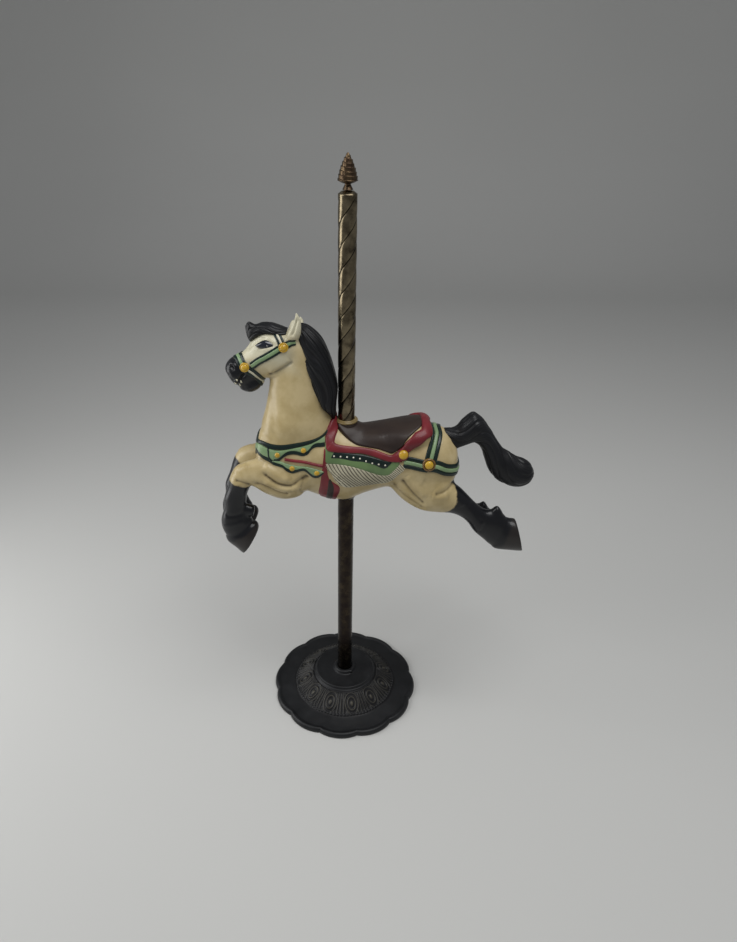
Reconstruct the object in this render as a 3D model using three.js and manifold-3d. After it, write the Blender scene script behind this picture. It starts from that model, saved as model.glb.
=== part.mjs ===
// A display carousel horse on its stand: a cast and painted jumper, pierced by a twisted brass pole that
// stands in a domed, scalloped iron base and ends in a pine-cone finial.
// Millimetres, +Z up. The origin is on the pole's axis, on the floor. The horse looks along -X.
import * as THREE from "three";
import { mergeVertices } from "three/addons/utils/BufferGeometryUtils.js";
import Module from "manifold-3d";

const wasm = await Module();
wasm.setup();

// ---- Driving dimensions ----
const GAP = 0.3; // air left between pieces that touch

const POLE_RADIUS = 19;
const POLE_TOP = 1304;
const POLE_SHOULDER = 7; // height of the cone that closes the pole's top

const BASE_RADIUS = 195;
const BASE_LOBES = 12;
const LOBE_DEPTH = 8; // how far the notches between the lobes cut in
const LOBE_TURN = THREE.MathUtils.degToRad(-5);
const HUB_RADIUS = 79;
const HUB_HEIGHT = 62;
const BOSS_RADIUS = 30;
const BOSS_HEIGHT = 70;
const SOCKET_FLOOR = 12; // iron left under the pole's foot

const FINIAL_RADIUS = 19.5;
const FINIAL_NECK = 7;
const FINIAL_TOP = 1370;

const LEG_SPREAD = 40; // from the middle plane to a leg's own plane
const COLLAR_RADIUS = 25; // bosses of the casting around the pole, above and below
const POLE_HOLE = POLE_RADIUS + GAP;

// ---- Solids ----
function toSolid(geometry) {
  const bare = geometry.clone();
  for (const name of Object.keys(bare.attributes)) {
    if (name !== "position") bare.deleteAttribute(name);
  }
  const merged = mergeVertices(bare, 1e-3);
  return new wasm.Manifold(
    new wasm.Mesh({
      numProp: 3,
      vertProperties: merged.attributes.position.array,
      triVerts: new Uint32Array(merged.index.array),
    }),
  );
}

function toGeometry(solid) {
  const { vertProperties, triVerts } = solid.getMesh();
  const geometry = new THREE.BufferGeometry();
  geometry.setAttribute("position", new THREE.BufferAttribute(vertProperties, 3));
  geometry.setIndex(new THREE.BufferAttribute(triVerts, 1));
  geometry.computeVertexNormals();
  return geometry;
}

const join = (...solids) => solids.reduce((whole, solid) => whole.add(solid));

function cylinder(radius, low, high, sides = 32) {
  const geometry = new THREE.CylinderGeometry(radius, radius, high - low, sides);
  geometry.rotateX(Math.PI / 2);
  geometry.translate(0, 0, (high + low) / 2);
  return toSolid(geometry);
}

// A turned form about +Z from a profile of [radius, height] points that starts and ends on the axis.
function turned(profile, sides) {
  const points = profile.map(([radius, height]) => new THREE.Vector2(radius, height));
  const geometry = new THREE.LatheGeometry(points, sides);
  geometry.rotateX(Math.PI / 2);
  return geometry;
}

// ---- Ribs ----
// The horse is drawn in side view as ribs, as a carver would lay out its patterns. A rib is one oval
// section: one end and the opposite end of it as [x, z], its half width, and how far across it sits.
const rib = (upper, lower, halfWidth, across = 0) => [...upper, ...lower, halfWidth, across];
const RIB_NUMBERS = 6;

// A sphere's rows are moved onto the ribs, with a smooth curve between them. A box above 0 squares the
// sections off.
function drawnOut(ribs, around, along, box = 0) {
  const places = ribs.map((_, i) => i);
  const between = new THREE.CubicInterpolant(places, ribs.flat(), RIB_NUMBERS);
  const at = (share) => [...between.evaluate(share * (ribs.length - 1))];
  const middle = (r) => new THREE.Vector2((r[0] + r[2]) / 2, (r[1] + r[3]) / 2);
  const first = at(0);
  const next = at(0.1);
  const heading = middle(next).sub(middle(first));
  const up = new THREE.Vector2(first[0] - first[2], first[1] - first[3]);
  const hand = Math.sign(heading.cross(up)); // keeps the faces outwards whichever way the limb runs
  const geometry = new THREE.SphereGeometry(1, around, along);
  const position = geometry.attributes.position;
  const squared = (v) => Math.sign(v) * Math.abs(v) ** (1 - box);
  for (let row = 0; row <= along; row += 1) {
    const share = THREE.MathUtils.clamp((row - 1) / (along - 2), 0, 1);
    const [upX, upZ, downX, downZ, halfWidth, across] = at(share);
    const atPole = row === 0 || row === along;
    for (let column = 0; column <= around; column += 1) {
      const index = row * (around + 1) + column;
      const angle = (2 * Math.PI * (column % around)) / around;
      const reach = atPole ? 0 : squared(Math.cos(angle));
      const side = atPole ? 0 : squared(Math.sin(angle));
      position.setXYZ(
        index,
        (upX + downX) / 2 + (reach * (upX - downX)) / 2,
        across + side * halfWidth * hand,
        (upZ + downZ) / 2 + (reach * (upZ - downZ)) / 2,
      );
    }
  }
  return toSolid(geometry);
}

// ---- Horse ----
const TORSO = [
  rib([-199, 786], [-209, 722], 24), // breast bone
  rib([-186, 804], [-198, 698], 46),
  rib([-142, 815], [-152, 672], 60),
  rib([-92, 820], [-96, 644], 67), // shoulder
  rib([-42, 822], [-48, 625], 69), // girth
  rib([5, 806], [0, 618], 69), // pole
  rib([60, 802], [48, 640], 68),
  rib([118, 804], [112, 657], 66), // flank
  rib([172, 806], [170, 640], 69), // croup
  rib([220, 799], [218, 640], 64),
  rib([246, 770], [246, 662], 48), // buttock
  rib([257, 742], [258, 694], 24),
];

const NECK = [
  rib([10, 770], [-196, 742], 50),
  rib([-24, 826], [-192, 806], 56),
  rib([-28, 868], [-180, 850], 49),
  rib([-33, 915], [-171, 893], 42),
  rib([-43, 955], [-165, 925], 37),
  rib([-55, 992], [-146, 952], 34),
  rib([-80, 1018], [-138, 972], 31),
  rib([-104, 1024], [-130, 990], 22),
];

const HEAD = [
  rib([-88, 1016], [-94, 984], 22), // behind the ears
  rib([-112, 1024], [-108, 962], 32),
  rib([-146, 1027], [-130, 942], 37), // cheek
  rib([-176, 1023], [-150, 926], 37), // brow
  rib([-198, 1010], [-172, 920], 31),
  rib([-212, 990], [-188, 915], 26), // bridge of the nose
  rib([-229, 974], [-200, 908], 24),
  rib([-248, 965], [-214, 902], 25), // nostril
  rib([-260, 952], [-230, 899], 23),
  rib([-264, 938], [-243, 903], 13), // upper lip
];

const CHIN = [
  rib([-185, 925], [-180, 912], 14),
  rib([-198, 925], [-190, 896], 20),
  rib([-215, 922], [-208, 887], 21),
  rib([-229, 912], [-226, 890], 15),
  rib([-236, 903], [-235, 896], 6), // lower lip
];

const FORELEG = [
  rib([-70, 735], [-88, 672], 24, -14),
  rib([-82, 735], [-92, 657], 29, -8), // elbow
  rib([-108, 738], [-110, 642], 33, -2),
  rib([-148, 742], [-146, 637], 33),
  rib([-188, 742], [-182, 650], 29), // forearm
  rib([-224, 732], [-206, 668], 26),
  rib([-250, 719], [-214, 674], 26), // knee
  rib([-264, 697], [-220, 668], 24),
  rib([-272, 668], [-228, 650], 21), // cannon
  rib([-283, 638], [-232, 628], 20),
  rib([-285, 611], [-234, 610], 20), // fetlock
  rib([-295, 576], [-227, 588], 22),
  rib([-291, 544], [-221, 576], 23), // pastern
  rib([-271, 513], [-220, 560], 20),
];

const HINDLEG = [
  rib([190, 770], [100, 700], 30, -16),
  rib([222, 735], [102, 667], 36, -10), // thigh
  rib([238, 706], [132, 633], 35, -5), // stifle
  rib([244, 690], [173, 610], 32),
  rib([252, 678], [212, 603], 28), // gaskin
  rib([268, 664], [243, 601], 25), // hock
  rib([286, 645], [267, 592], 22),
  rib([306, 624], [288, 574], 20), // cannon
  rib([328, 608], [306, 548], 21),
  rib([356, 604], [330, 526], 22), // fetlock
  rib([376, 592], [348, 510], 23), // pastern
  rib([386, 570], [368, 510], 19),
];

// A hoof is a cut cone: its coronet and its sole, each as two ends in side view.
const FORE_HOOF = [
  rib([-285, 519], [-214, 569], 25),
  rib([-249, 485], [-210, 556], 29),
];
const HIND_HOOF = [
  rib([386, 580], [360, 501], 25),
  rib([401, 579], [426, 496], 29),
];
// The tuft of hair behind the fetlock.
const FORE_TUFT = [
  rib([-246, 622], [-242, 586], 12),
  rib([-220, 616], [-220, 586], 12),
  rib([-212, 608], [-216, 594], 6),
];
const HIND_TUFT = [
  rib([336, 600], [352, 580], 12),
  rib([352, 618], [372, 590], 12),
  rib([360, 616], [368, 604], 6),
];

const TAIL = [
  rib([222, 798], [238, 745], 20),
  rib([248, 802], [257, 753], 23),
  rib([263, 821], [276, 762], 26),
  rib([284, 838], [291, 767], 28), // hump
  rib([304, 827], [302, 762], 28),
  rib([325, 801], [312, 748], 26),
  rib([343, 772], [319, 728], 25),
  rib([361, 749], [332, 698], 26),
  rib([378, 738], [350, 674], 29),
  rib([396, 726], [376, 658], 31),
  rib([414, 720], [404, 652], 30),
  rib([430, 708], [426, 660], 25),
  rib([439, 692], [438, 676], 10), // tip
];

// The mane lies over the crest and falls a hand's breadth down both sides.
const MANE = [
  rib([-98, 1040], [-112, 1016], 20),
  rib([-80, 1033], [-104, 1002], 28),
  rib([-57, 1012], [-98, 984], 34),
  rib([-41, 982], [-94, 962], 38),
  rib([-29, 944], [-88, 934], 42),
  rib([-20, 903], [-74, 896], 44),
  rib([-22, 870], [-60, 866], 44),
  rib([-23, 848], [-42, 848], 36),
  rib([-24, 832], [-34, 834], 24),
];

const FORELOCK = [
  rib([-124, 1030], [-130, 1012], 16),
  rib([-142, 1036], [-146, 1018], 20),
  rib([-160, 1042], [-164, 1018], 20),
  rib([-178, 1042], [-182, 1016], 18),
  rib([-193, 1038], [-196, 1008], 16),
  rib([-206, 1043], [-204, 1002], 12),
  rib([-214, 1034], [-210, 1010], 5),
];

// An ear's ribs run from its root to its tip, across the horse as well as up.
const ear = (side, tipX, tipZ) => [
  rib([-106, 1018], [-124, 1016], 12, side * 20),
  rib([-100, 1034], [-122, 1030], 12, side * 24),
  rib([-98, 1050], [-118, 1048], 9, side * 27),
  rib([tipX + 4, tipZ - 10], [tipX - 8, tipZ - 12], 5, side * 29),
  rib([tipX + 1, tipZ], [tipX - 2, tipZ], 1.5, side * 30),
];
const NEAR_EAR = ear(-1, -102, 1072);
const FAR_EAR = ear(1, -98, 1047);

// The saddle's seat and cantle stand proud of the back.
const SADDLE_PROUD = 6;
const SADDLE_OUTLINE = [
  [-20, 820],
  [2, 786],
  [36, 758],
  [75, 744],
  [112, 742],
  [140, 762],
  [176, 792],
  [182, 860],
  [-20, 860],
];
const CANTLE = [
  rib([62, 800], [66, 768], 38),
  rib([92, 812], [96, 766], 50),
  rib([124, 823], [126, 764], 56),
  rib([154, 826], [154, 764], 58),
  rib([180, 824], [178, 768], 54),
  rib([193, 808], [191, 776], 40),
];

// The outline in side view, drawn right through the horse from side to side.
function sideCut(outline) {
  const shape = new THREE.Shape(outline.map(([x, z]) => new THREE.Vector2(x, z)));
  const depth = 240;
  const geometry = new THREE.ExtrudeGeometry(shape, { depth, bevelEnabled: false });
  geometry.rotateX(Math.PI / 2);
  geometry.translate(0, depth / 2, 0);
  return toSolid(geometry);
}

const grown = (ribs, proud) =>
  ribs.map(([upX, upZ, downX, downZ, halfWidth, across]) => [
    upX,
    upZ + proud,
    downX,
    downZ - proud,
    halfWidth + proud,
    across,
  ]);

// The far hind leg hangs lower from the hock and is shorter beyond it.
const HOCK = [256, 640];
const FAR_HOCK_DROP = 43;
const FAR_SHRINK = 0.75;
const FAR_FORWARD = 4; // the far foreleg reaches a little further forward
function lowered(x, z) {
  const toHock = THREE.MathUtils.clamp((x - 170) / (HOCK[0] - 170), 0, 1);
  const beyond = x > HOCK[0] ? FAR_SHRINK - 1 : 0;
  return [x + 10 * toHock + (x - HOCK[0]) * beyond, z - FAR_HOCK_DROP * toHock + (z - HOCK[1]) * beyond];
}
const reached = (x, z) => [x - FAR_FORWARD, z];
const asDrawn = (x, z) => [x, z];
const sided = (ribs, side, moved = asDrawn) =>
  ribs.map(([upX, upZ, downX, downZ, halfWidth, inset]) =>
    rib(moved(upX, upZ), moved(downX, downZ), halfWidth, side * (LEG_SPREAD + inset)),
  );

function legs() {
  const parts = [-1, 1].flatMap((side) => {
    const foreMoved = side > 0 ? reached : asDrawn;
    const hindMoved = side > 0 ? lowered : asDrawn;
    return [
      drawnOut(sided(FORELEG, side, foreMoved), 12, 21),
      drawnOut(sided(FORE_HOOF, side, foreMoved), 12, 3),
      drawnOut(sided(FORE_TUFT, side, foreMoved), 8, 5),
      drawnOut(sided(HINDLEG, side, hindMoved), 12, 18),
      drawnOut(sided(HIND_HOOF, side, hindMoved), 12, 3),
      drawnOut(sided(HIND_TUFT, side, hindMoved), 8, 5),
    ];
  });
  return join(...parts);
}

function saddle() {
  const overBack = drawnOut(grown(TORSO, SADDLE_PROUD), 24, 20);
  return overBack.intersect(sideCut(SADDLE_OUTLINE)).add(drawnOut(CANTLE, 18, 8));
}

function horse() {
  const body = join(
    drawnOut(TORSO, 24, 20),
    drawnOut(NECK, 20, 14),
    drawnOut(HEAD, 18, 16),
    drawnOut(CHIN, 12, 8),
    drawnOut(MANE, 16, 12, 0.3),
    drawnOut(FORELOCK, 10, 12),
    drawnOut(NEAR_EAR, 8, 8),
    drawnOut(FAR_EAR, 8, 8),
    drawnOut(TAIL, 14, 20),
    legs(),
    saddle(),
    cylinder(COLLAR_RADIUS, 720, 814, 24),
    cylinder(COLLAR_RADIUS - 3, 616, 720, 24),
  );
  return body.subtract(cylinder(POLE_HOLE, 560, 960, 32));
}

// ---- Pole ----
// The twist's grooves are fine relief, so the solid is the plain rod with a coned top.
function pole() {
  const profile = [
    [0, SOCKET_FLOOR + GAP],
    [POLE_RADIUS, SOCKET_FLOOR + GAP],
    [POLE_RADIUS, POLE_TOP - POLE_SHOULDER],
    [FINIAL_NECK + 3, POLE_TOP],
    [0, POLE_TOP],
  ];
  return toSolid(turned(profile, 36));
}

// ---- Finial ----
// A pine cone wound as a stack of overlapping rings on a narrow neck.
function finial() {
  const foot = POLE_TOP + GAP;
  const bulb = FINIAL_TOP - 52;
  const rings = 7;
  const profile = [
    [0, foot],
    [FINIAL_NECK + 2, foot],
    [FINIAL_NECK, foot + 4],
    [FINIAL_NECK + 1, bulb - 6],
    [FINIAL_RADIUS, bulb],
  ];
  for (let ring = 0; ring < rings; ring += 1) {
    const low = ring / rings;
    const high = (ring + 1) / rings;
    const outline = (share) => FINIAL_RADIUS * (1 - share ** 1.7) + 1.2;
    const reach = FINIAL_TOP - 3 - bulb;
    profile.push([outline(low), bulb + reach * (low + 0.3 / rings)]);
    profile.push([outline(high) - 0.6, bulb + reach * (high - 0.08 / rings)]);
  }
  profile.push([0, FINIAL_TOP]);
  return toSolid(turned(profile, 16));
}

// ---- Base ----
// The dome's profile, with a scalloped rim that is pulled in between the lobes.
function base() {
  const profile = [
    [0, 0],
    [BASE_RADIUS - 3, 0],
    [BASE_RADIUS, 4],
    [BASE_RADIUS - 1, 11],
    [BASE_RADIUS - 7, 15],
    [BASE_RADIUS - 13, 11],
    [BASE_RADIUS - 34, 14],
    [136, 17],
    [120, 27],
    [98, 44],
    [HUB_RADIUS + 5, 52],
    [HUB_RADIUS + 2, 55],
    [HUB_RADIUS, HUB_HEIGHT],
    [HUB_RADIUS - 5, HUB_HEIGHT + 0.5],
    [HUB_RADIUS - 9, HUB_HEIGHT - 1],
    [BOSS_RADIUS + 4, HUB_HEIGHT - 1],
    [BOSS_RADIUS, BOSS_HEIGHT - 3],
    [BOSS_RADIUS - 4, BOSS_HEIGHT],
    [0, BOSS_HEIGHT],
  ];
  const geometry = turned(profile, BASE_LOBES * 4);
  geometry.rotateZ(LOBE_TURN);
  const position = geometry.attributes.position;
  const spot = new THREE.Vector3();
  const scallopStart = 120;
  for (let i = 0; i < position.count; i += 1) {
    spot.fromBufferAttribute(position, i);
    const radius = Math.hypot(spot.x, spot.y);
    const angle = Math.atan2(spot.y, spot.x) - LOBE_TURN;
    const lobe = Math.abs(Math.cos((BASE_LOBES / 2) * angle));
    const fade = THREE.MathUtils.clamp((radius - scallopStart) / (BASE_RADIUS - scallopStart), 0, 1);
    const pull = LOBE_DEPTH * (1 - lobe ** 0.7) * fade;
    const scale = radius > 0 ? (radius - pull) / radius : 1;
    position.setXYZ(i, spot.x * scale, spot.y * scale, spot.z);
  }
  const socket = cylinder(POLE_HOLE, SOCKET_FLOOR, BOSS_HEIGHT + 20);
  return toSolid(geometry).subtract(socket);
}

// ---- The object ----
const COAT = { color: 0xcdb98f, roughness: 0.35, metalness: 0 };
const BRASS = { color: 0x8a7748, roughness: 0.35, metalness: 1 };
const IRON = { color: 0x242424, roughness: 0.6, metalness: 0.4 };

const carousel = new THREE.Group();
function place(name, solid, finish) {
  const mesh = new THREE.Mesh(toGeometry(solid), new THREE.MeshStandardMaterial(finish));
  mesh.name = name;
  carousel.add(mesh);
}
place("base", base(), IRON);
place("pole", pole(), BRASS);
place("finial", finial(), BRASS);
place("horse", horse(), COAT);

export default carousel;
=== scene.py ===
import functools
import math

import bmesh
import bpy
import numpy as np
from mathutils import Matrix, Vector
from mathutils.bvhtree import BVHTree


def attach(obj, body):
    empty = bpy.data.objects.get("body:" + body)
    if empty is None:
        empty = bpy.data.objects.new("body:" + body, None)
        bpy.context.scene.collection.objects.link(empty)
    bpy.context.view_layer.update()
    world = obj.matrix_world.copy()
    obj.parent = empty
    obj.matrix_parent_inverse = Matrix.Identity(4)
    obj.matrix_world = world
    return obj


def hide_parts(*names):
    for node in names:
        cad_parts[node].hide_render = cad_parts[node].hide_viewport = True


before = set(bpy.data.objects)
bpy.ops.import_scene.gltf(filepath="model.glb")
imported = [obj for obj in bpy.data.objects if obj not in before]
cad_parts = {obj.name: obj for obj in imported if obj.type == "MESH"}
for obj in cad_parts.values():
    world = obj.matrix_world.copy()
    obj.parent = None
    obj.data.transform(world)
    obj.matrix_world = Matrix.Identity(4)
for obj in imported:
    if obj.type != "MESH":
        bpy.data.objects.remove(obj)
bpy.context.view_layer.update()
MM = 0.001


# ---- Studio ----
# A plain pale sweep, a soft window and a side panel on the left, a wide soft ceiling light and a camera at
# a standing viewer's eyes.
def linear(hex_colour):
    channels = [int(hex_colour[i : i + 2], 16) / 255 for i in (1, 3, 5)]
    return (*(c / 12.92 if c < 0.04045 else ((c + 0.055) / 1.055) ** 2.4 for c in channels), 1.0)


def add_node(tree, kind, inputs, out=0, ramp=(), **settings):
    """Adds a node with its settings, links, values and hex colours, and gives one of its outputs."""
    made = tree.nodes.new("ShaderNode" + kind)
    for name, value in settings.items():
        setattr(made, name, value)
    for socket, value in inputs.items():
        if isinstance(value, bpy.types.NodeSocket):
            tree.links.new(value, made.inputs[socket])
        else:
            made.inputs[socket].default_value = linear(value) if isinstance(value, str) else value
    if ramp:
        stops = made.color_ramp.elements
        while len(stops) < len(ramp):
            stops.new(0.5)
        for stop, (place, colour) in zip(stops, ramp):
            stop.position = place
            stop.color = linear(colour)
    return made.outputs[out] if made.outputs else None


def new_material(name):
    """An empty material, and add_node ready to work in it."""
    made = bpy.data.materials.new(name)
    made.use_nodes = True
    made.node_tree.nodes.clear()
    return made, functools.partial(add_node, made.node_tree)


def finish_material(add, surface):
    add("OutputMaterial", {"Surface": add("BsdfPrincipled", surface)})


def shown(name, data):
    made = bpy.data.objects.new(name, data)
    bpy.context.scene.collection.objects.link(made)
    return made


# Matt white painted board: no gloss, a trace of mottle.
card, add = new_material("painted_board")
card_spots = add("TexNoise", {"Scale": 3.0, "Detail": 2.0})
card_colour = add("ValToRGB", {"Fac": card_spots}, ramp=[(0.3, "#CACAC7"), (0.7, "#D0D0CD")])
finish_material(add, {"Base Color": card_colour, "Roughness": 0.9, "Specular IOR Level": 0.1})

HALF_WIDE, FLOOR_FRONT, FLOOR_BACK, BEND, WALL_TOP = 6.0, -4.0, 4.0, 1.5, 5.0
sweep = bmesh.new()
rail = sweep.edges.new([sweep.verts.new((x, FLOOR_FRONT, 0.0)) for x in (-HALF_WIDE, HALF_WIDE)])
turning = [
    (FLOOR_BACK + BEND * math.sin(a), BEND - BEND * math.cos(a)) for a in np.linspace(0.2, math.pi / 2, 8)
]
for y, z in [(FLOOR_BACK, 0.0)] + turning + [(FLOOR_BACK + BEND, WALL_TOP)]:
    grown = bmesh.ops.extrude_edge_only(sweep, edges=[rail])["geom"]
    rail = next(g for g in grown if isinstance(g, bmesh.types.BMEdge))
    for v in rail.verts:
        v.co.y, v.co.z = y, z
bmesh.ops.recalc_face_normals(sweep, faces=sweep.faces)
for face in sweep.faces:
    face.smooth = True
floor_mesh = bpy.data.meshes.new("studio_floor")
sweep.to_mesh(floor_mesh)
floor_mesh.materials.append(card)
floor = shown("studio_floor", floor_mesh)

world = bpy.data.worlds.new("studio")
bpy.context.scene.world = world
world.use_nodes = True
sky = world.node_tree.nodes["Background"].inputs
sky["Color"].default_value = linear("#F4F6FA")
sky["Strength"].default_value = 0.24
bpy.context.scene.view_settings.view_transform = "Standard"


def soft_light(name, place, aim, size, watts):
    lamp = bpy.data.lights.new(name, "AREA")
    lamp.shape = "RECTANGLE"
    lamp.size, lamp.size_y = size
    lamp.energy = watts
    made = shown(name, lamp)
    made.location = place
    made.rotation_euler = (Vector(aim) - Vector(place)).to_track_quat("-Z", "Y").to_euler()


soft_light("window", (-2.2, -1.1, 2.4), (0, 0, 0.75), (0.9, 1.4), 14)
soft_light("side_panel", (-1.9, -0.1, 1.2), (0, 0, 1.1), (0.95, 2.3), 20)
soft_light("ceiling", (0.7, -0.8, 3.2), (0, 0, 0.6), (2.0, 2.0), 50)

camera = bpy.data.cameras.new("viewer")
camera.lens = 26.75
camera.sensor_width = camera.sensor_height = 36.0
camera.shift_x = 0.0239
viewer = shown("viewer", camera)
viewer.location = (0, -1.429, 1.495)
aim = Matrix.Rotation(math.radians(60.5), 3, "X") @ Matrix.Rotation(math.radians(0.36), 3, "Z")
viewer.rotation_euler = aim.to_euler()
bpy.context.scene.camera = viewer


# ---- Base ----
# A domed iron casting with twelve lobes round its rim, a ring of palmettes on its slope and a flat hub
# whose collar takes the pole. Blackened, with a lighter grey-brown on the leaves' high spots that is partly
# bare metal and partly painted highlight, and painted shade on the low ground between the ribs.
def placed(bm, name, material):
    for face in bm.faces:
        face.smooth = True
    mesh = bpy.data.meshes.new(name)
    bm.to_mesh(mesh)
    bm.free()
    mesh.materials.append(material)
    made = shown(name, mesh)
    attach(made, "root")
    return made


def revolved(profile, steps):
    """A closed form turned about +Z from a profile of (radius, height) points in millimetres."""
    bm = bmesh.new()
    spots = [bm.verts.new((r * MM, 0, z * MM)) for r, z in profile]
    rims = [bm.edges.new(pair) for pair in zip(spots, spots[1:])]
    turning = {"cent": (0, 0, 0), "axis": (0, 0, 1), "angle": 2 * math.pi, "steps": steps}
    bmesh.ops.spin(bm, geom=spots + rims, use_merge=True, use_duplicate=False, **turning)
    bmesh.ops.remove_doubles(bm, verts=bm.verts, dist=1e-6)
    bmesh.ops.recalc_face_normals(bm, faces=bm.faces)
    return bm


def coordinates(bm):
    return np.array([v.co for v in bm.verts]) / MM


def move_to(bm, spots):
    for v, spot in zip(bm.verts, spots * MM):
        v.co = spot


def filled(points, gap):
    """The points of a profile with more put in, so that none are further apart than the gap."""
    out = [points[0]]
    for a, b in zip(points, points[1:]):
        count = max(1, math.ceil(math.dist(a, b) / gap))
        out += [tuple(a[k] + (b[k] - a[k]) * i / count for k in range(2)) for i in range(1, count + 1)]
    return out


def unit(value):
    """The value held between 0 and 1."""
    return np.clip(value, 0, 1)


RIM = 195.0
LOBES = 12
LOBE_TURN, LOBE_DEPTH = math.radians(-5), 8.0
LEAF_IN, LEAF_OUT = 86.0, 137.0
base_profile = [(0, 0), (RIM - 3, 0), (RIM - 0.6, 1.2), (RIM, 4), (RIM - 0.4, 8.5), (RIM - 2.5, 12)]
base_profile += [(RIM - 5, 14.2), (RIM - 8, 14.6), (RIM - 11, 13.4), (RIM - 13.5, 11.6), (RIM - 18, 11.4)]
base_profile += filled([(RIM - 34, 13), (142, 15.5)], 4)
base_profile += filled([(139, 16.2), (128, 21), (113, 32.5), (98, 43.5), (86, 50.5)], 1.0)
base_profile += [(84.4, 51.4), (83.6, 52.4), (82.8, 54.4), (81.2, 55.2), (80, 56), (79.2, 58.4), (78.6, 61)]
base_profile += [(77.6, 62.2), (75.6, 62.5), (73.6, 62), (71.5, 61.2), (60, 61), (48, 61), (34, 61.2)]
base_profile += [(31, 61.8), (29.6, 63.4), (28.6, 66.4), (27.4, 68.8), (25, 70), (21.6, 70), (19.6, 69.6)]
base_profile += [(19.5, 64), (19.4, 30), (19.4, 12), (0, 12)]
base_bm = revolved(base_profile, 600)
spots = coordinates(base_bm)
radius = np.hypot(spots[:, 0], spots[:, 1])
bearing = np.arctan2(spots[:, 1], spots[:, 0]) - LOBE_TURN
lobe = abs(np.cos(LOBES / 2 * bearing)) ** 0.7
pull = LOBE_DEPTH * (1 - lobe) * unit((radius - 120) / (RIM - 120))
spots[:, :2] *= ((radius - pull) / np.maximum(radius, 1e-6))[:, None]

# One palmette to each lobe: ribs that spread outwards from its root. Between two palmettes is a round knob
# with ribs curled round it like the rows of an ammonite, and small shells lie along the leaves' outer edge.
KNOB_R, RIDGE = 5.2, 1.9
step = 2 * math.pi / LOBES
turn = (bearing + step / 2) % step - step / 2
out = unit((radius - LEAF_IN) / (LEAF_OUT - LEAF_IN))
down = out * 60
on_slope = (spots[:, 2] > 15) & (radius > LEAF_IN - 1) & (radius < LEAF_OUT + 3)
beside = abs(turn) * radius
from_knob = np.hypot((step / 2 * radius - beside) * 0.95, (down - 30) * 0.62)
knob = np.sqrt(unit(1 - (from_knob / KNOB_R) ** 2))
curls = sum(np.exp(-(((from_knob - r) / RIDGE) ** 2)) for r in (10, 16.8))
rib_gap = 4.6 + 0.085 * down
ribs = np.exp(-(((beside / rib_gap + 0.5) % 1 - 0.5) * rib_gap / RIDGE) ** 2) * (from_knob > 19)
shell_x = (turn * radius + 200) % 9.0 - 4.5
shells = np.sqrt(unit(1 - (shell_x / 3.9) ** 2 - ((down - 57) / 4.5) ** 2))
ends = unit(out / 0.04) * unit((1 - out) / 0.02)
body_of_leaf = np.sin(math.pi * unit(out)) ** 0.5
leaf = body_of_leaf + np.maximum.reduce([3.8 * knob, 3.4 * curls, 3.2 * ribs]) * (down < 54)
leaf = np.where(down > 51, np.maximum(leaf, 3.2 * shells), leaf) * ends
relief = np.where(on_slope, leaf, 0)
spots[:, 2] += relief
move_to(base_bm, spots)
# Lighter grey-brown on the high spots: partly wear, partly painted highlight. Painted shade low between
# ribs.
wear_and_highlight = base_bm.verts.layers.float.new("wear_and_highlight")
valley_shade = base_bm.verts.layers.float.new("valley_shade")
for v, height, leafy in zip(base_bm.verts, relief, on_slope):
    v[wear_and_highlight] = float(unit((height - 3.2) / 1.2))
    v[valley_shade] = float(unit((2.6 - height) / 1.4) * leafy)

# Cast iron, blackened with a wax finish: a grainy sand-cast skin, satin, with lighter grey-brown on the high
# spots, partly metal where hands and cloths have rubbed them and partly painted highlight, and near-black
# painted shade on the low ground between the ribs. The grain is drawn at 1.5 mm.
iron, add = new_material("blackened_cast_iron")
place = add("TexCoord", {}, "Object")
grain = add("TexNoise", {"Vector": place, "Scale": 650.0, "Detail": 4.0})
patches = add("TexNoise", {"Vector": place, "Scale": 28.0, "Detail": 3.0})
blacks = [(0.3, "#121315"), (0.55, "#1A1B1D"), (0.75, "#212224")]
black = add("ValToRGB", {"Fac": patches}, ramp=blacks)
# painted shade: near-black on the low ground between the leaves' ribs
valley_shade_share = add("Attribute", {}, "Fac", attribute_name="valley_shade")
valley_shaded = add("Mix", {0: valley_shade_share, 6: black, 7: "#08080A"}, 2, data_type="RGBA")
# painted highlight, partly wear: lighter grey-brown on the leaves' high spots
wear_and_highlight_share = add("Attribute", {}, "Fac", attribute_name="wear_and_highlight")
wear_and_highlight_here = add("Math", {0: wear_and_highlight_share, 1: patches}, operation="MULTIPLY")
iron_colour = add("Mix", {0: wear_and_highlight_here, 6: valley_shaded, 7: "#565143"}, 2, data_type="RGBA")
rough = add("MapRange", {"Value": patches, "To Min": 0.36, "To Max": 0.6})
bump = add("Bump", {"Height": grain, "Strength": 0.35, "Distance": 0.0004})
finish_material(add, {"Base Color": iron_colour, "Metallic": 0.3, "Roughness": rough, "Normal": bump})

# A square-headed screw stands out of the collar, on the pole's right.
SCREW_SIZE, SCREW_AT, SCREW_TURN = (9, 8, 8), (27.5, 0, 66), math.radians(-52)
screw_bm = bmesh.new()
bmesh.ops.create_cube(screw_bm, size=1.0)
bmesh.ops.scale(screw_bm, vec=Vector(SCREW_SIZE) * MM, verts=screw_bm.verts)
bevel = {"offset": 1.1 * MM, "segments": 3, "affect": "EDGES", "clamp_overlap": True}
bmesh.ops.bevel(screw_bm, geom=screw_bm.edges[:], **bevel)
bmesh.ops.translate(screw_bm, vec=Vector(SCREW_AT) * MM, verts=screw_bm.verts)
screw_turn = Matrix.Rotation(SCREW_TURN, 3, "Z")
bmesh.ops.rotate(screw_bm, cent=(0, 0, 0), matrix=screw_turn, verts=screw_bm.verts)
screw = placed(screw_bm, "collar_set_screw", iron)
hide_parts("base")
base = placed(base_bm, "stand_base", iron)
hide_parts("base")


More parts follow.
